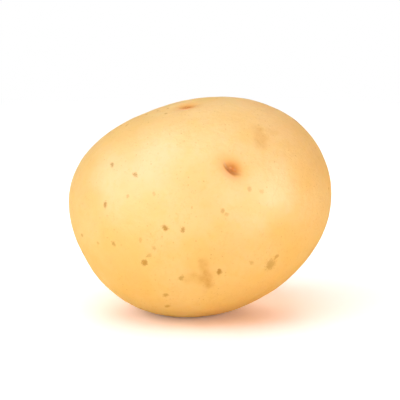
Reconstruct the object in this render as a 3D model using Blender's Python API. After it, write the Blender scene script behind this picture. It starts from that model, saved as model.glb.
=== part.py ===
# A table potato with a thin smooth skin, grown as one piece and lying on a small flat spot.
# Metres, +Z up. The origin is on the ground, under the middle of the potato.
# +X points to the rose end, which is lifted, -X to the stem end, and -Y to the front.
# A place on the skin is given as the potato's middle sees it: azimuth 0 is the front,
# 90 is the rose end, and elevation is the angle above level, both in degrees.

from math import cos, exp, pi, radians, sin, tan

import bmesh
import bpy
from mathutils import Matrix, Vector

MM = 0.001

# Body, before it is tilted
HALF_LENGTH = 36.0 * MM
HALF_DEPTH = 29.0 * MM
HALF_HEIGHT = 29.8 * MM
FULLNESS = 2.12  # 2 is an ellipsoid, and more is boxier
STEM_END_FULLNESS = 0.034  # how much thicker the stem end is than the middle
TILT = radians(18)  # lift of the rose end
SEGMENTS = 24  # quads along each side of the ball's six patches

# Soft swells and hollows of the body: azimuth, elevation, spread in degrees, height
SWELLS = (
    (-90, 12, 20, 2.7 * MM),  # shoulder of the stem end
    (90, -70, 20, 0.8 * MM),  # underside, near the resting spot
    (90, 20, 24, 0.3 * MM),  # rose end
    (175, 25, 28, 0.9 * MM),  # high on the back
    (150, -22, 24, -0.7 * MM),  # low on the back
    (-150, -5, 22, -0.5 * MM),  # beside the stem scar
    (12, -6, 20, -0.3 * MM),  # middle of the front
)

# Eyes: azimuth, elevation, turn of the long side in degrees, half width, half height, depth
EYES = (
    (19, 30, -45, 3.4 * MM, 2.4 * MM, 0.9 * MM),
    (-36, 78, 30, 3.2 * MM, 2.2 * MM, 0.8 * MM),
    (170, 34, 78, 3.6 * MM, 2.6 * MM, 1.0 * MM),
    (-158, 12, 84, 3.4 * MM, 2.4 * MM, 0.8 * MM),
    (152, -22, -80, 3.6 * MM, 2.6 * MM, 1.0 * MM),
    (80, -50, 10, 3.2 * MM, 2.2 * MM, 0.8 * MM),
    (-140, -42, 60, 3.0 * MM, 2.2 * MM, 0.7 * MM),
    (118, 46, -60, 3.2 * MM, 2.4 * MM, 0.9 * MM),
    (99, -10, 20, 3.0 * MM, 2.2 * MM, 0.9 * MM),
    (130, 6, 80, 3.0 * MM, 2.2 * MM, 1.0 * MM),
    (110, 20, -30, 2.8 * MM, 2.4 * MM, 1.1 * MM),
)

# Stem scar, where the potato hung on its stolon
STEM_SCAR = (-114, -8)
STEM_SCAR_RADIUS = 4.2 * MM
STEM_SCAR_DEPTH = 1.5 * MM

FLAT_PRESS = 1.0 * MM  # height that the flat resting spot takes off the underside

SKIN_COLOUR = (0.95, 0.63, 0.21, 1.0)
SKIN_ROUGHNESS = 0.5


def toward(azimuth, elevation):
    """The direction from the potato's middle to a place on its skin."""
    turn, lift = radians(azimuth), radians(elevation)
    return Vector((cos(lift) * sin(turn), -cos(lift) * cos(turn), sin(lift)))


def make_ball():
    """A ball of even quads with radius 1, from a cube."""
    ball = bmesh.new()
    bmesh.ops.create_cube(ball, size=2.0)
    bmesh.ops.subdivide_edges(ball, edges=ball.edges[:], cuts=SEGMENTS - 1, use_grid_fill=True)
    for vert in ball.verts:
        vert.co = Vector([tan(step * pi / 4) for step in vert.co]).normalized()
    return ball


def body_radius(direction):
    """Distance from the middle to the smooth body, in one direction."""
    own = Matrix.Rotation(TILT, 3, "Y") @ direction
    thickness = 1 - STEM_END_FULLNESS * own.x
    halves = (HALF_LENGTH, HALF_DEPTH * thickness, HALF_HEIGHT * thickness)
    total = sum(abs(part / half) ** FULLNESS for part, half in zip(own, halves))
    radius = total ** (-1 / FULLNESS)
    for azimuth, elevation, spread, height in SWELLS:
        away = direction.angle(toward(azimuth, elevation)) / radians(spread)
        radius += height * exp(-away * away / 2)
    return radius


def shape_body(ball):
    for vert in ball.verts:
        vert.co = vert.co * body_radius(vert.co)


def settle(body):
    """Puts the middle over the origin, with the underside FLAT_PRESS below the ground."""
    lowest = Vector([min(vert.co[axis] for vert in body.verts) for axis in range(3)])
    highest = Vector([max(vert.co[axis] for vert in body.verts) for axis in range(3)])
    middle = (lowest + highest) / 2
    shift = Vector((-middle.x, -middle.y, -lowest.z - FLAT_PRESS))
    bmesh.ops.translate(body, verts=body.verts[:], vec=shift)
    return Vector((0, 0, (highest.z + shift.z) / 2))


def press_dimple(body, middle, azimuth, elevation, turn, half_width, half_height, depth):
    """Presses one soft dimple into the skin, straight towards the middle."""
    out = toward(azimuth, elevation)
    level = Vector((0, 0, 1)).cross(out).normalized()
    along = Matrix.Rotation(radians(turn), 3, out) @ level
    across = out.cross(along)
    for vert in body.verts:
        place = vert.co - middle
        if place.dot(out) > 0:
            wide = place.dot(along) / half_width
            high = place.dot(across) / half_height
            vert.co -= out * (depth * exp(-wide * wide - high * high))


def press_flat_spot(body):
    for vert in body.verts:
        vert.co.z = max(vert.co.z, 0.0)


def skin_material():
    skin = bpy.data.materials.new("skin")
    skin.use_nodes = True
    shader = skin.node_tree.nodes["Principled BSDF"]
    shader.inputs["Base Color"].default_value = SKIN_COLOUR
    shader.inputs["Roughness"].default_value = SKIN_ROUGHNESS
    shader.inputs["Metallic"].default_value = 0.0
    return skin


def make_potato():
    body = make_ball()
    shape_body(body)
    middle = settle(body)
    for eye in EYES:
        press_dimple(body, middle, *eye)
    radius = STEM_SCAR_RADIUS
    press_dimple(body, middle, *STEM_SCAR, 0, radius, radius, STEM_SCAR_DEPTH)
    press_flat_spot(body)

    mesh = bpy.data.meshes.new("potato")
    body.to_mesh(mesh)
    body.free()
    mesh.shade_smooth()
    mesh.materials.append(skin_material())
    potato = bpy.data.objects.new("potato", mesh)
    bpy.context.scene.collection.objects.link(potato)


for old in list(bpy.data.objects):
    bpy.data.objects.remove(old, do_unlink=True)

make_potato()
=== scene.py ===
from math import cos, exp, pi, radians, sin
from random import Random

import bpy
from mathutils import Matrix, Vector, kdtree, noise


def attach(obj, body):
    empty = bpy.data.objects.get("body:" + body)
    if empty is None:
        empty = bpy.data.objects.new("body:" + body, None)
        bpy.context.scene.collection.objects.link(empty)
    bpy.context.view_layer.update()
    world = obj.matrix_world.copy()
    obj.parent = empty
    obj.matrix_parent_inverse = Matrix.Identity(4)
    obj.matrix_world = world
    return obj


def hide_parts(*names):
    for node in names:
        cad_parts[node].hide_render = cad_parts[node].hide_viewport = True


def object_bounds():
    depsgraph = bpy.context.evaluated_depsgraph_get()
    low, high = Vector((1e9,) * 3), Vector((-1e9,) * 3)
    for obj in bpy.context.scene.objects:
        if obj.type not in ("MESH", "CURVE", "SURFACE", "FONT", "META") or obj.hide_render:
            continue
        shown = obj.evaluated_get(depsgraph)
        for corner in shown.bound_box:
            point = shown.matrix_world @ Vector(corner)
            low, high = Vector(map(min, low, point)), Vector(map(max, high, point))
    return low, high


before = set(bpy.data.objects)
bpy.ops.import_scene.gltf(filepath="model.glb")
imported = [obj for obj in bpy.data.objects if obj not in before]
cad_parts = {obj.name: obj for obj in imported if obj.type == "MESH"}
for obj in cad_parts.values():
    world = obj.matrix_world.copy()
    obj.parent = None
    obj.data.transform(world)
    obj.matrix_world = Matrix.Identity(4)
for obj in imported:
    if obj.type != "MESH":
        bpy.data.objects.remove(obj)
cadLow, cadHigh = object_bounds()
middle = (cadLow + cadHigh) / 2
mm = 0.001
print("frame loaded, potato is", [round(side / mm, 1) for side in cadHigh - cadLow], "mm")


# Places on the skin are seen from the middle of the potato, in degrees:
# azimuth 0 is the front, 90 the rose end, -90 the stem end, and elevation is up from level
def toward(azimuth, elevation):
    turn, lift = radians(azimuth), radians(elevation)
    return Vector((cos(lift) * sin(turn), -cos(lift) * cos(turn), sin(lift)))


def deselectAll():
    bpy.ops.object.select_all(action="DESELECT")


def makeActive(piece):
    deselectAll()
    piece.select_set(True)
    bpy.context.view_layer.objects.active = piece


def applyModifier(piece, name, kind, **settings):
    modifier = piece.modifiers.new(name, kind)
    for key, value in settings.items():
        setattr(modifier, key, value)
    makeActive(piece)
    bpy.ops.object.modifier_apply(modifier=name)


potatoForm = {
    "mergeDistance": 0.001 * mm,
    "quadAngle": radians(60),  # the frame's triangles are paired into quads up to this bend
    "roundLevels": 2,  # rounds the frame's 2 mm faces down to 0.5 mm
    "octaves": 2,  # of the clouds that the next two are made of
    "swellSize": 9 * mm,  # soft unevenness of the flesh under the skin
    "swellHeight": 0.32 * mm,
    "dimpleSize": 2.2 * mm,  # fine unevenness of the skin itself
    "dimpleHeight": 0.05 * mm,
    "groundBlend": 2.5 * mm,  # the unevenness fades out this high above the resting spot
    "flatBelow": 0.01 * mm,  # what lies lower than this is pressed flat on the ground
}


def copyFrameNode(name, form):
    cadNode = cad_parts[name]
    makeActive(cadNode)
    bpy.ops.object.duplicate()
    piece = bpy.context.object
    piece.name = "potatoSkin"
    bpy.ops.object.mode_set(mode="EDIT")
    bpy.ops.mesh.select_all(action="SELECT")
    bpy.ops.mesh.remove_doubles(threshold=form["mergeDistance"])
    bpy.ops.mesh.tris_convert_to_quads(face_threshold=form["quadAngle"],
                                       shape_threshold=form["quadAngle"])
    bpy.ops.mesh.normals_make_consistent(inside=False)
    bpy.ops.object.mode_set(mode="OBJECT")
    return piece


def weighVertices(piece, name, weights):
    group = piece.vertex_groups.new(name=name)
    for index, weight in enumerate(weights):
        if weight > 0.001:  # less would not show
            group.add([index], min(weight, 1.0), "REPLACE")


def roughenSkin(piece, form):
    above = [vertex.co.z / form["groundBlend"] for vertex in piece.data.vertices]
    weighVertices(piece, "offGround", [min(1.0, max(0.0, height)) for height in above])
    for name in ("swell", "dimple"):
        clouds = bpy.data.textures.new(name, "CLOUDS")
        clouds.noise_scale = form[name + "Size"]
        clouds.noise_depth = form["octaves"]
        applyModifier(piece, name, "DISPLACE", texture=clouds, texture_coords="LOCAL",
                      strength=form[name + "Height"], mid_level=0.5, vertex_group="offGround")


potato = copyFrameNode("potato", potatoForm)
applyModifier(potato, "round", "SUBSURF", levels=potatoForm["roundLevels"],
              render_levels=potatoForm["roundLevels"])
roughenSkin(potato, potatoForm)
print("tuber rounded,", len(potato.data.polygons), "faces")


# at: azimuth and elevation, turn: how the brow lies, in degrees
# width: its length in mm, buds: how many lie behind it, stain: how brown the eye is
eyes = [
    {"at": (19, 30), "turn": -40, "width": 5.6, "buds": 1, "stain": 1.0},
    {"at": (-36, 78), "turn": 30, "width": 4.6, "buds": 1, "stain": 0.9},
    {"at": (170, 34), "turn": 78, "width": 5.4, "buds": 2, "stain": 0.8},
    {"at": (-158, 12), "turn": 84, "width": 4.8, "buds": 1, "stain": 0.7},
    {"at": (152, -22), "turn": -80, "width": 5.4, "buds": 3, "stain": 0.9},
    {"at": (80, -50), "turn": 10, "width": 4.6, "buds": 1, "stain": 0.8},
    {"at": (-140, -42), "turn": 60, "width": 4.2, "buds": 1, "stain": 0.6},
    {"at": (118, 46), "turn": -60, "width": 4.8, "buds": 2, "stain": 0.9},
    {"at": (99, -10), "turn": 20, "width": 4.2, "buds": 1, "stain": 0.9},
    {"at": (130, 6), "turn": 80, "width": 4.4, "buds": 2, "stain": 0.8},
    {"at": (110, 20), "turn": -30, "width": 4.0, "buds": 3, "stain": 1.0},
]

# an eye in mm: each band lies at a place across the eye, has a half width there and a half
# length along it, follows the brow's bend as much as its curl says, and a higher ends is blunter
eyeForm = {
    "drawnWidth": 4.8,  # an eye of another width is this one, scaled
    "reach": 5.0,
    "bend": 0.10,
    "bands": {
        "eyeRidge": {"at": -1.15, "halfWidth": 0.55, "halfLength": 2.5, "curl": 1.0, "ends": 4},
        # the crease's mask both cuts the fold and lays painted shade in it
        "eyeCrease": {"at": -0.45, "halfWidth": 0.36, "halfLength": 2.0, "curl": 1.2, "ends": 4},
        "eyeBlush": {"at": -1.6, "halfWidth": 0.7, "halfLength": 2.3, "curl": 1.0, "ends": 2},
        # the hollow's mask both sinks the dish and lays painted shade over it
        "eyeHollowAndShade": {"at": 0.6, "halfWidth": 2.4, "halfLength": 3.0, "curl": 0.0, "ends": 2},
        "eyeStain": {"at": 0.25, "halfWidth": 1.3, "halfLength": 1.9, "curl": 0.0, "ends": 2},
    },
    "budAt": 0.25,
    "budRadius": 0.5,
    "budGap": 1.2,
    "ridgeHeight": 0.20,  # leaf scar, a low ridge on the stem side of the eye
    "creaseDepth": 0.34,  # the fold right behind the ridge
    "budHeight": 0.34,
    "hollowDepth": 0.22,  # the shallow dish round it all
}

# lengths in mm
stemScar = {
    "at": (-114, -8),
    "reach": 8.7,
    "rim": 2.9,  # radius of the ring where the stolon broke off
    "rimWidth": 0.9,
    "rimHeight": 0.16,
    "pitRadius": 2.3,
    "pitDepth": 0.45,
    "stubRadius": 1.2,
    "stubHeight": 0.5,
    "corkRadius": 1.7,
    "waver": (2.4, 0.35),  # uneven outline: size of the waves, and how much they move it
    "fray": (0.9, 0.15),
}

# azimuth, elevation, size in mm, how dark
frontLenticels = [
    (-55, 27, 0.8, 0.8), (-38, 25, 0.8, 0.8), (-39, 14, 0.6, 0.5), (-51, 8, 0.8, 0.9),
    (-25, 17, 0.6, 0.35), (-68, -9, 0.7, 0.6), (-56, -11, 0.6, 0.4), (-46, -10, 0.8, 0.7),
    (-31, -7, 0.7, 0.35), (-24, -11, 0.7, 0.4), (-18, 0, 0.9, 0.9), (-9, -1, 0.8, 0.8),
    (-30, -19, 1.1, 0.9), (-27, -15, 0.7, 0.4), (-11, -28, 0.9, 0.6), (-22, -39, 0.9, 0.6),
    (-25, -49, 0.9, 0.6), (-55, -53, 0.8, 0.7), (-70, -56, 0.7, 0.6), (12, 9, 0.7, 0.5),
    (14, 7, 0.6, 0.35), (11, -25, 1.0, 0.9), (41, -22, 2.0, 0.6), (29, -20, 0.8, 0.35),
    (43, -17, 0.7, 0.5), (27, 19, 0.8, 0.45), (33, 17, 0.8, 0.3),
]

hiddenLenticels = {
    "seed": 14,
    "tries": 4000,
    "number": 90,
    "apart": 5,  # degrees between neighbours, at least
    "eyeRoom": 9,  # degrees kept free round an eye
    "frontEdge": 0.25,  # none where the front ones are: y of the direction, from -1 to 1
    "topEdge": 0.93,  # but again on top: z of the direction
    "crowding": 2.4,  # how often busy and bare stretches of skin take turns
    "bareness": (-0.45, 0.3),  # low lets lenticels into bare stretches too
    "sizes": (0.45, 1.15),
    "darks": (0.3, 0.85),
}

lenticelForm = {
    "stretch": (0.15, 0.5),  # how much longer than wide, less on a large one
    "fray": (0.8, 0.3),  # uneven outline: size of the waves in mm, and how much they move it
    "reach": 2.6,  # this and the radii are in sizes of the lenticel
    "toneRadius": 1.7,
    "riseRadius": 1.0,
    "pitRadius": 0.4,
    "coreRadius": 0.9,
    "haloRadius": 1.3,
    "riseHeight": 0.07,  # in mm
    "pitDepth": 0.10,
}

# rubbed marks: from, to, half width in mm, strength
scuffs = [
    ((1, -19), (5, -34), 1.3, 0.6),
    ((-4, -27), (1, -29), 2.0, 0.4),
    ((42, 43), (46, 47), 2.0, 0.45),
    ((38, 40), (41, 38), 1.2, 0.3),
    ((-140, 34), (-133, 40), 2.2, 0.35),
    ((178, -10), (172, -16), 3.0, 0.4),
    ((72, -18), (75, -22), 2.2, 0.3),
]

scuffForm = {
    "reach": 3,  # in half widths
    "waver": (2.6, 0.7),  # uneven outline: size of the waves in mm, and how much they move it
    "fade": (1.4, 0.5),  # uneven strength
    "depth": 0.03,  # mm
}


def skinSpot(at, turn=0.0):
    place, out = potato.ray_cast(middle, toward(*at))[1:3]
    level = Vector((0, 0, 1)).cross(out).normalized()
    along = Matrix.Rotation(radians(turn), 3, out) @ level
    return {"place": place, "along": along, "across": out.cross(along)}


def scatterLenticels(spread):
    draw = Random(spread["seed"])
    taken = [(toward(*row[:2]), spread["apart"]) for row in frontLenticels]
    taken += [(toward(*eye["at"]), spread["eyeRoom"]) for eye in eyes]
    taken.append((toward(*stemScar["at"]), spread["eyeRoom"]))
    small, large = spread["sizes"]
    rows = []
    for attempt in range(spread["tries"]):
        direction = Vector([draw.gauss(0, 1) for axis in range(3)]).normalized()
        size = small + (large - small) * draw.random() ** 2  # more small ones than large
        dark = draw.uniform(*spread["darks"])
        clear = all(direction.angle(other) > radians(room) for other, room in taken)
        hidden = direction.y > -spread["frontEdge"] or direction.z > spread["topEdge"]
        busy = noise.noise(direction * spread["crowding"]) > draw.uniform(*spread["bareness"])
        if clear and hidden and busy and len(rows) < spread["number"]:
            taken.append((direction, spread["apart"]))
            rows.append((direction, size, dark))
    return rows


lenticels = [(toward(azimuth, elevation), size, dark)
             for azimuth, elevation, size, dark in frontLenticels]
lenticels += scatterLenticels(hiddenLenticels)

# the skin's faces are halved this far round the marks
fineSkin = {
    "roundEyes": 4.6 * mm,
    "inEyes": 2.8 * mm,
    "roundLenticels": 1.3 * mm,
}


def divideAround(places, reach):
    spots = kdtree.KDTree(len(places))
    for number, place in enumerate(places):
        spots.insert(place, number)
    spots.balance()
    makeActive(potato)
    bpy.ops.object.mode_set(mode="EDIT")
    bpy.ops.mesh.select_all(action="DESELECT")
    bpy.ops.object.mode_set(mode="OBJECT")
    for face in potato.data.polygons:
        face.select = spots.find(face.center)[2] < reach
    bpy.ops.object.mode_set(mode="EDIT")
    bpy.ops.mesh.select_mode(type="FACE")
    bpy.ops.mesh.subdivide(number_cuts=1, ngon=False)
    bpy.ops.mesh.vertices_smooth(factor=0.5)  # opens the flat slivers along the finer part's edge
    bpy.ops.object.mode_set(mode="OBJECT")


eyePlaces = [skinSpot(eye["at"])["place"] for eye in eyes]
scarPlace = skinSpot(stemScar["at"])["place"]
lenticelPlaces = [potato.ray_cast(middle, direction)[1] for direction, size, dark in lenticels]
divideAround(eyePlaces + [scarPlace], fineSkin["roundEyes"])
divideAround(eyePlaces + [scarPlace], fineSkin["inEyes"])
divideAround(lenticelPlaces, fineSkin["roundLenticels"])
print("skin divided finer round", len(eyePlaces), "eyes and", len(lenticelPlaces), "lenticels,",
      len(potato.data.polygons), "faces")


markNames = ["eyeRidge", "eyeCrease", "eyeBud", "eyeStain", "eyeBlush", "eyeHollowAndShade",
             "lenticelRise", "lenticelPit", "lenticelHalo", "lenticelCore", "lenticelTone",
             "scuff", "scarRim", "scarPit", "scarStub", "scarCork"]
marks = {name: [0.0] * len(potato.data.vertices) for name in markNames}
skinTree = kdtree.KDTree(len(potato.data.vertices))
for vertex in potato.data.vertices:
    skinTree.insert(vertex.co, vertex.index)
skinTree.balance()


def addMark(name, index, amount):
    marks[name][index] = min(1.0, marks[name][index] + amount)


def hump(distance, halfWidth, ends=2):
    return exp(-(distance / halfWidth) ** ends)  # higher ends, flatter top and steeper sides


# one, give or take an amount that changes over the skin
def ragged(place, size, amount):
    return 1 + amount * noise.noise(place / (size * mm))


def paintEye(eye, form):
    spot = skinSpot(eye["at"], eye["turn"])
    size = eye["width"] / form["drawnWidth"]
    budGap = form["budGap"] * size
    budStart = -budGap * (eye["buds"] - 1) / 2
    for place, index, away in skinTree.find_range(spot["place"], form["reach"] * size * mm):
        offset = (place - spot["place"]) / mm
        across, along = offset.dot(spot["across"]) / size, offset.dot(spot["along"]) / size
        bend = form["bend"] * along ** 2
        for name, band in form["bands"].items():
            fromBand = across - band["at"] - band["curl"] * bend
            amount = hump(fromBand, band["halfWidth"])
            amount *= hump(along, band["halfLength"], band["ends"])
            if name == "eyeStain":
                amount *= eye["stain"]
            addMark(name, index, amount)
        for bud in range(eye["buds"]):
            fromBud = along * size - budStart - bud * budGap
            addMark("eyeBud", index, hump(fromBud, form["budRadius"] * size)
                    * hump(across - form["budAt"], form["budRadius"]))


def paintStemScar(scar):
    place = skinSpot(scar["at"])["place"]
    for co, index, away in skinTree.find_range(place, scar["reach"] * mm):
        radius = away / mm * ragged(co, *scar["waver"]) * ragged(co, *scar["fray"])
        addMark("scarRim", index, hump(radius - scar["rim"], scar["rimWidth"]))
        addMark("scarPit", index, hump(radius, scar["pitRadius"], 4))
        addMark("scarStub", index, hump(radius, scar["stubRadius"], 3))
        addMark("scarCork", index, hump(radius, scar["corkRadius"], 4))


def paintLenticel(place, size, dark, form, draw):
    out = (place - middle).normalized()
    along = Matrix.Rotation(draw.uniform(0, pi), 3, out) @ out.orthogonal().normalized()
    stretch = draw.uniform(*form["stretch"]) / max(1, size)
    for co, index, away in skinTree.find_range(place, form["reach"] * size * mm):
        share = (co - place).dot(along) / max(away, 0.01 * mm)  # 1 or -1 along, 0 across
        radius = away / mm * (1 + stretch * (0.5 - share ** 2)) * ragged(co, *form["fray"])
        addMark("lenticelRise", index, dark * hump(radius, form["riseRadius"] * size))
        addMark("lenticelPit", index, dark * hump(radius, form["pitRadius"] * size))
        addMark("lenticelHalo", index, dark * hump(radius, form["haloRadius"] * size))
        addMark("lenticelCore", index, hump(radius, form["coreRadius"] * size))
        if radius < form["toneRadius"] * size:
            marks["lenticelTone"][index] = max(marks["lenticelTone"][index], dark)


def paintScuff(start, end, halfWidth, strength, form):
    first, last = skinSpot(start)["place"], skinSpot(end)["place"]
    run = last - first
    reach = run.length / 2 + form["reach"] * halfWidth * mm
    for co, index, away in skinTree.find_range((first + last) / 2, reach):
        step = min(1.0, max(0.0, (co - first).dot(run) / run.length_squared))
        aside = (co - first - run * step).length / mm * ragged(co, *form["waver"])
        addMark("scuff", index, strength * hump(aside, halfWidth) * ragged(co, *form["fade"]))


for eye in eyes:
    paintEye(eye, eyeForm)
paintStemScar(stemScar)
lenticelDraw = Random(hiddenLenticels["seed"])
for place, (direction, size, dark) in zip(lenticelPlaces, lenticels):
    paintLenticel(place, size, dark, lenticelForm, lenticelDraw)
for start, end, halfWidth, strength in scuffs:
    paintScuff(start, end, halfWidth, strength, scuffForm)

# height in mm that each mark raises or sinks the skin, one after another
relief = {
    "eyeRidge": eyeForm["ridgeHeight"],
    "eyeCrease": -eyeForm["creaseDepth"],
    "eyeBud": eyeForm["budHeight"],
    "eyeHollowAndShade": -eyeForm["hollowDepth"],
    "lenticelRise": lenticelForm["riseHeight"],
    "lenticelPit": -lenticelForm["pitDepth"],
    "scuff": -scuffForm["depth"],
    "scarRim": stemScar["rimHeight"],
    "scarPit": -stemScar["pitDepth"],
    "scarStub": stemScar["stubHeight"],
}
for name in relief:
    weighVertices(potato, name, marks[name])
for name, height in relief.items():
    applyModifier(potato, name, "DISPLACE", strength=height * mm, mid_level=0.0,
                  vertex_group=name)
potato.vertex_groups.clear()

# the colours read the marks from the mesh
for name in ("eyeStain", "eyeBlush", "eyeHollowAndShade", "eyeCrease", "lenticelHalo", "lenticelCore",
             "lenticelTone", "scuff", "scarCork", "scarPit"):
    mark = potato.data.attributes.new(name, "FLOAT", "POINT")
    mark.data.foreach_set("value", marks[name])


def settleOnGround(piece, form):
    makeActive(piece)
    bpy.ops.object.mode_set(mode="EDIT")
    bpy.ops.mesh.select_mode(type="VERT")
    bpy.ops.mesh.select_all(action="DESELECT")
    bpy.ops.object.mode_set(mode="OBJECT")
    for vertex in piece.data.vertices:
        vertex.select = vertex.co.z < form["flatBelow"]
    bpy.ops.object.mode_set(mode="EDIT")
    bpy.ops.transform.resize(value=(1, 1, 0), center_override=(0, 0, 0))
    bpy.ops.object.mode_set(mode="OBJECT")


settleOnGround(potato, potatoForm)
makeActive(potato)
bpy.ops.object.shade_smooth()
print("eyes, stem scar, lenticels and scuffs raised in the skin")


def srgb(red, green, blue):
    shares = [value / 255 for value in (red, green, blue)]
    return [((share + 0.055) / 1.055) ** 2.4 for share in shares] + [1.0]


def addNode(tree, kind, values=None, **settings):
    made = tree.nodes.new(kind)
    for key, value in settings.items():
        setattr(made, key, value)
    for socket, value in (values or {}).items():
        if isinstance(value, bpy.types.NodeSocket):
            tree.links.new(value, made.inputs[socket])
        else:
            made.inputs[socket].default_value = value
    return made


def addRange(tree, value, low, high, toLow=0.0, toHigh=1.0):
    return addNode(tree, "ShaderNodeMapRange", {
        "Value": value, "From Min": low, "From Max": high, "To Min": toLow, "To Max": toHigh,
    }, interpolation_type="SMOOTHSTEP").outputs["Result"]


def addMath(tree, operation, first, second):
    return addNode(tree, "ShaderNodeMath", {0: first, 1: second}, operation=operation).outputs[0]


def multiply(tree, first, second):
    return addMath(tree, "MULTIPLY", first, second)


def mixColour(tree, amount, first, second):
    made = addNode(tree, "ShaderNodeMix", data_type="RGBA")
    for socket, value in (("Factor", amount), ("A", first), ("B", second)):
        kind = "NodeSocketFloatFactor" if socket == "Factor" else "NodeSocketColor"
        target = next(way for way in made.inputs if way.name == socket and way.bl_idname == kind)
        if isinstance(value, bpy.types.NodeSocket):
            tree.links.new(value, target)
        else:
            target.default_value = value
    return next(way for way in made.outputs if way.bl_idname == "NodeSocketColor")


def readMark(tree, name):
    return addNode(tree, "ShaderNodeAttribute", attribute_name=name).outputs["Fac"]


skinColours = {
    "cream": srgb(240, 206, 146),
    "gold": srgb(238, 198, 123),
    "blush": srgb(242, 197, 136),
    "fleck": srgb(188, 136, 56),
    "net": srgb(214, 168, 96),
    "eyeStain": srgb(204, 122, 20),
    # painted shade: a darker orange tan laid over each eye's shallow hollow
    "eyeHollowAndShade": srgb(236, 168, 70),
    "eyeBlush": srgb(250, 180, 128),
    "lenticelHalo": srgb(242, 212, 150),
    "lenticelCore": srgb(188, 136, 42),
    # painted shade: dark brown laid in the fold behind each eye's ridge
    "creaseShade": srgb(160, 92, 34),
    "scuff": srgb(206, 146, 54),
    "cork": srgb(164, 98, 38),
}

# patterns of noise: size in mm, and what lies between the two "from" is stretched to the two "to"
skinPatterns = {
    "patches": {"size": 14, "detail": 3, "rough": 0.5, "from": (0.3, 0.7), "to": (0.0, 1.0)},
    "flush": {"size": 24, "detail": 2, "rough": 0.5, "from": (0.5, 0.75), "to": (0.0, 0.5)},
    "mottle": {"size": 1.8, "detail": 5, "rough": 0.62, "from": (0.45, 0.75), "to": (0.0, 0.55)},
    "fields": {"size": 9, "detail": 2, "rough": 0.5, "from": (0.35, 0.7), "to": (0.25, 1.0)},
    "breakUp": {"size": 0.45, "detail": 3, "rough": 0.65, "from": (0.28, 0.6), "to": (0.65, 1.0)},
    "crumbs": {"size": 0.35, "detail": 3, "rough": 0.6, "from": (0.25, 0.75), "to": (-0.25, 0.25)},
    "sheen": {"size": 2.5, "detail": 4, "rough": 0.6, "from": (0.3, 0.7), "to": (0.38, 0.50)},
    "grain": {"size": 0.3, "detail": 4, "rough": 0.65},
    "pores": {"size": 1.3, "detail": 4, "rough": 0.6},
    "net": {"size": 4.5, "detail": 4, "rough": 0.55, "swirl": 0.3, "halfWidth": 0.02},
    # gap in mm, the rest in shares: radius of the gap, solid of the radius, many of all places
    "flecks": {"gap": 1.0, "radius": 0.27, "solid": 0.4, "many": 0.6},
    "specks": {"gap": 0.45, "radius": 0.34, "solid": 0.4, "many": 0.6},
}

# how strongly each thing colours the skin: what, colour, strength
skinCover = {
    "ground": (("flecks", "fleck", 0.55), ("specks", "fleck", 0.22), ("net", "net", 0.22)),
    # the eye hollow's mask lays painted shade over the dish round each eye
    "softMarks": (("eyeHollowAndShade", "eyeHollowAndShade", 0.75), ("lenticelHalo", "lenticelHalo", 0.25),
                  ("eyeBlush", "eyeBlush", 0.6), ("eyeStain", "eyeStain", 1.0)),
    # the eye crease's mask lays painted shade in the fold behind each ridge
    "brokenMarks": (("scuff", "scuff", 0.9), ("eyeCrease", "creaseShade", 0.5),
                    ("scarPit", "fleck", 0.35), ("scarCork", "cork", 0.85)),
    "coreEdge": (0.18, 0.80),  # where a lenticel's brown starts and is full
}

# bumps finer than the mesh: strength, depth in mm
skinBumps = {
    "grain": (0.6, 0.04),
    "net": (0.5, 0.02),
    "pores": (0.7, 0.14),
    "flecks": (0.5, -0.03),  # small pits
}

skinGloss = {
    "specular": 0.75,
    "scuffDullness": 0.25,
    "lenticelDullness": 0.2,
    "fleshGlow": 0.25,  # share of the light that goes through the skin
    "glowColour": (1.0, 0.45, 0.16),
    "glowDepth": 3 * mm,
}


def addNoise(tree, place, form):
    return addNode(tree, "ShaderNodeTexNoise", {
        "Vector": place, "Scale": 1 / (form["size"] * mm), "Detail": form["detail"],
        "Roughness": form["rough"], "Distortion": form.get("swirl", 0.0)}).outputs["Fac"]


def addPattern(tree, place, form):
    return addRange(tree, addNoise(tree, place, form), *form["from"], *form["to"])


def addFlecks(tree, place, form):
    cells = addNode(tree, "ShaderNodeTexVoronoi", {
        "Vector": place, "Scale": 1 / (form["gap"] * mm)})
    solid, radius = form["radius"] * form["solid"], form["radius"]
    dots = addRange(tree, cells.outputs["Distance"], solid, radius, 1.0, 0.0)
    pick = addNode(tree, "ShaderNodeSeparateColor", {"Color": cells.outputs["Color"]})
    chosen = addRange(tree, pick.outputs["Red"], 1 - form["many"], 1.0)
    return multiply(tree, dots, chosen)


def addNet(tree, place, form):
    fromMiddle = addMath(tree, "SUBTRACT", addNoise(tree, place, form), 0.5)
    fromMiddle = addMath(tree, "ABSOLUTE", fromMiddle, 0.0)
    return addRange(tree, fromMiddle, 0.0, form["halfWidth"], 1.0, 0.0)


def addBump(tree, height, strength, depth, under=None):
    values = {"Height": height, "Strength": strength, "Distance": abs(depth) * mm}
    if under is not None:
        values["Normal"] = under
    return addNode(tree, "ShaderNodeBump", values, invert=depth < 0).outputs["Normal"]


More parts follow.
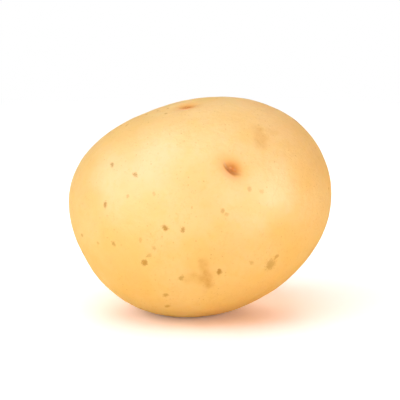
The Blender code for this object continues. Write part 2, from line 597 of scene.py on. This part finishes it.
def makeSkinMaterial(colours, patterns, cover, bumps, gloss):
    skin = bpy.data.materials.new("potatoSkin")
    skin.use_nodes = True
    tree = skin.node_tree
    shader = tree.nodes["Principled BSDF"]
    place = addNode(tree, "ShaderNodeTexCoord").outputs["Object"]

    # ripe patches, a warmer flush and fine mottling over the cream ground
    patches = addPattern(tree, place, patterns["patches"])
    colour = mixColour(tree, patches, colours["cream"], colours["gold"])
    flush = addPattern(tree, place, patterns["flush"])
    colour = mixColour(tree, flush, colour, colours["blush"])
    mottle = addPattern(tree, place, patterns["mottle"])
    colour = mixColour(tree, mottle, colour, colours["gold"])

    # fine flecks and a faint corky net, thicker in some places
    fields = addPattern(tree, place, patterns["fields"])
    flecks = addFlecks(tree, place, patterns["flecks"])
    specks = addFlecks(tree, place, patterns["specks"])
    net = multiply(tree, addNet(tree, place, patterns["net"]), fields)
    ground = {"flecks": multiply(tree, flecks, fields), "specks": multiply(tree, specks, fields),
              "net": net}
    for name, target, strength in cover["ground"]:
        colour = mixColour(tree, multiply(tree, ground[name], strength), colour, colours[target])

    # the marks painted on the mesh, among them painted shade in each eye's hollow and crease
    breakUp = addPattern(tree, place, patterns["breakUp"])
    for name, target, strength in cover["softMarks"]:
        amount = multiply(tree, readMark(tree, name), strength)
        colour = mixColour(tree, amount, colour, colours[target])
    for name, target, strength in cover["brokenMarks"]:
        amount = multiply(tree, multiply(tree, readMark(tree, name), breakUp), strength)
        colour = mixColour(tree, amount, colour, colours[target])

    # a lenticel's crumbly edge comes from noise, how dark it is from its tone
    crumbs = addPattern(tree, place, patterns["crumbs"])
    edge = addMath(tree, "ADD", readMark(tree, "lenticelCore"), crumbs)
    core = addRange(tree, edge, *cover["coreEdge"])
    core = multiply(tree, core, readMark(tree, "lenticelTone"))
    colour = mixColour(tree, core, colour, colours["lenticelCore"])
    tree.links.new(colour, shader.inputs["Base Color"])

    # scuffs and lenticels shine less than the rest
    sheen = addPattern(tree, place, patterns["sheen"])
    dull = addMath(tree, "ADD", multiply(tree, readMark(tree, "scuff"), gloss["scuffDullness"]),
                   multiply(tree, core, gloss["lenticelDullness"]))
    tree.links.new(addMath(tree, "ADD", sheen, dull), shader.inputs["Roughness"])

    normal = addBump(tree, addNoise(tree, place, patterns["grain"]), *bumps["grain"])
    normal = addBump(tree, net, *bumps["net"], normal)
    normal = addBump(tree, addNoise(tree, place, patterns["pores"]), *bumps["pores"], normal)
    normal = addBump(tree, flecks, *bumps["flecks"], normal)
    tree.links.new(normal, shader.inputs["Normal"])

    shader.inputs["Specular IOR Level"].default_value = gloss["specular"]
    shader.inputs["Subsurface Weight"].default_value = gloss["fleshGlow"]
    shader.inputs["Subsurface Radius"].default_value = gloss["glowColour"]
    shader.inputs["Subsurface Scale"].default_value = gloss["glowDepth"]
    return skin


potato.data.materials.clear()
potato.data.materials.append(
    makeSkinMaterial(skinColours, skinPatterns, skinCover, skinBumps, skinGloss))
print("skin material made")

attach(potato, "root")
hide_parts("potato")


white = (1.0, 1.0, 1.0)
warm = (1.0, 0.9, 0.76)
orange = (1.0, 0.44, 0.16)

studio = {
    "floorSide": 6.0,
    "floorDrop": 0.2 * mm,
    "worldLight": 0.13,
    "worldTint": (1.0, 0.62, 0.32, 1.0),
    "worldSeen": 1.2,  # what the camera sees of the world, bright enough to be white
    "paper": (1.34, 1.24, 1.34, 1.0),  # what the camera sees of the floor near the potato,
    # with a little less green, which keeps the rim of the shadow from turning lemon
    "bounce": (0.90, 0.75, 0.37, 1.0),  # what the floor throws back at the potato
    "fadeFrom": 0.12,  # away from the potato the floor fades to plain white
    "fadeTo": 0.40,
    "distance": 0.9,  # of every softbox, from the potato's middle
    "softboxes": [
        # azimuth, elevation, side, watts that light the skin, watts that only shine on it, tint
        ("leftBox", -72, 22, 0.7, 3.0, 5.2, white),
        ("leftHighBox", -72, 48, 0.6, 1.1, 5.8, white),
        ("leftFrontBox", -48, 18, 0.5, 0.4, 2.2, white),
        ("frontBox", -5, 14, 0.5, 0.3, 0.0, white),
        ("lowLeftBox", -28, -3, 0.5, 3.3, 0.0, white),
        ("lowRightBox", 28, -4, 0.5, 4.1, 1.2, white),
        ("rightFrontBox", 50, 8, 0.5, 1.5, 6.4, white),
        ("rightBox", 90, 10, 0.5, 1.5, 0.6, orange),
        ("topBox", 0, 74, 0.8, 4.1, 1.6, white),
        ("backRightBox", 163, 32, 0.8, 3.4, 0.6, warm),
        ("backLeftBox", -165, 32, 0.8, 2.4, 0.6, warm),
    ],
}


def makeFloor(look):
    deselectAll()
    bpy.ops.mesh.primitive_plane_add(size=look["floorSide"], location=(0, 0, -look["floorDrop"]))
    floor = bpy.context.object
    floor.name = "studioFloor"
    paper = bpy.data.materials.new("floorPaper")
    paper.use_nodes = True
    tree = paper.node_tree
    tree.nodes.remove(tree.nodes["Principled BSDF"])
    seen = addNode(tree, "ShaderNodeLightPath").outputs["Is Camera Ray"]
    bounce = addNode(tree, "ShaderNodeBsdfDiffuse", {"Color": look["bounce"]}).outputs["BSDF"]
    lit = addNode(tree, "ShaderNodeBsdfDiffuse", {"Color": look["paper"]}).outputs["BSDF"]
    plain = addNode(tree, "ShaderNodeEmission", {"Color": (*white, 1.0)}).outputs["Emission"]
    place = addNode(tree, "ShaderNodeTexCoord").outputs["Object"]
    away = addNode(tree, "ShaderNodeVectorMath", {0: place}, operation="LENGTH").outputs["Value"]
    fade = addRange(tree, away, look["fadeFrom"], look["fadeTo"])
    paperSeen = addNode(tree, "ShaderNodeMixShader", {0: fade, 1: lit, 2: plain}).outputs["Shader"]
    both = addNode(tree, "ShaderNodeMixShader", {0: seen, 1: bounce, 2: paperSeen})
    tree.links.new(both.outputs["Shader"], tree.nodes["Material Output"].inputs["Surface"])
    floor.data.materials.append(paper)


def aimAt(thing, target):
    thing.rotation_euler = (target - thing.location).to_track_quat("-Z", "Y").to_euler()


def makeSoftbox(name, azimuth, elevation, side, fillPower, sheenPower, tint):
    for part, power in (("Fill", fillPower), ("Sheen", sheenPower)):
        if power:
            lamp = bpy.data.lights.new(name + part, "AREA")
            lamp.shape = "SQUARE"
            lamp.size, lamp.energy, lamp.color = side, power, tint
            box = bpy.data.objects.new(name + part, lamp)
            bpy.context.scene.collection.objects.link(box)
            box.location = middle + toward(azimuth, elevation) * studio["distance"]
            aimAt(box, middle)
            box.visible_glossy = part == "Sheen"
            box.visible_diffuse = part == "Fill"


def makeWorld(look):
    world = bpy.data.worlds.new("whiteStudio")
    world.use_nodes = True
    tree = world.node_tree
    background = tree.nodes["Background"]
    seen = addNode(tree, "ShaderNodeLightPath").outputs["Is Camera Ray"]
    tint = mixColour(tree, seen, look["worldTint"], (*white, 1.0))
    tree.links.new(tint, background.inputs["Color"])
    strength = addRange(tree, seen, 0, 1, look["worldLight"], look["worldSeen"])
    tree.links.new(strength, background.inputs["Strength"])
    bpy.context.scene.world = world


cameraSetup = {
    "azimuth": 0,
    "elevation": 12,
    "lens": 160,
    "distance": 0.50,
    "lookUp": 1.5 * mm,  # the aim, above the potato's middle
    "nearest": 0.01,
    "farthest": 20,
}


def makeCamera(setup):
    lens = bpy.data.cameras.new("camera")
    lens.lens = setup["lens"]
    lens.clip_start, lens.clip_end = setup["nearest"], setup["farthest"]
    camera = bpy.data.objects.new("camera", lens)
    bpy.context.scene.collection.objects.link(camera)
    aim = middle + Vector((0, 0, setup["lookUp"]))
    camera.location = aim + toward(setup["azimuth"], setup["elevation"]) * setup["distance"]
    aimAt(camera, aim)
    bpy.context.scene.camera = camera


makeFloor(studio)
for softbox in studio["softboxes"]:
    makeSoftbox(*softbox)
makeWorld(studio)
makeCamera(cameraSetup)
bpy.context.scene.view_settings.view_transform = "Standard"
print("floor, light and camera set")
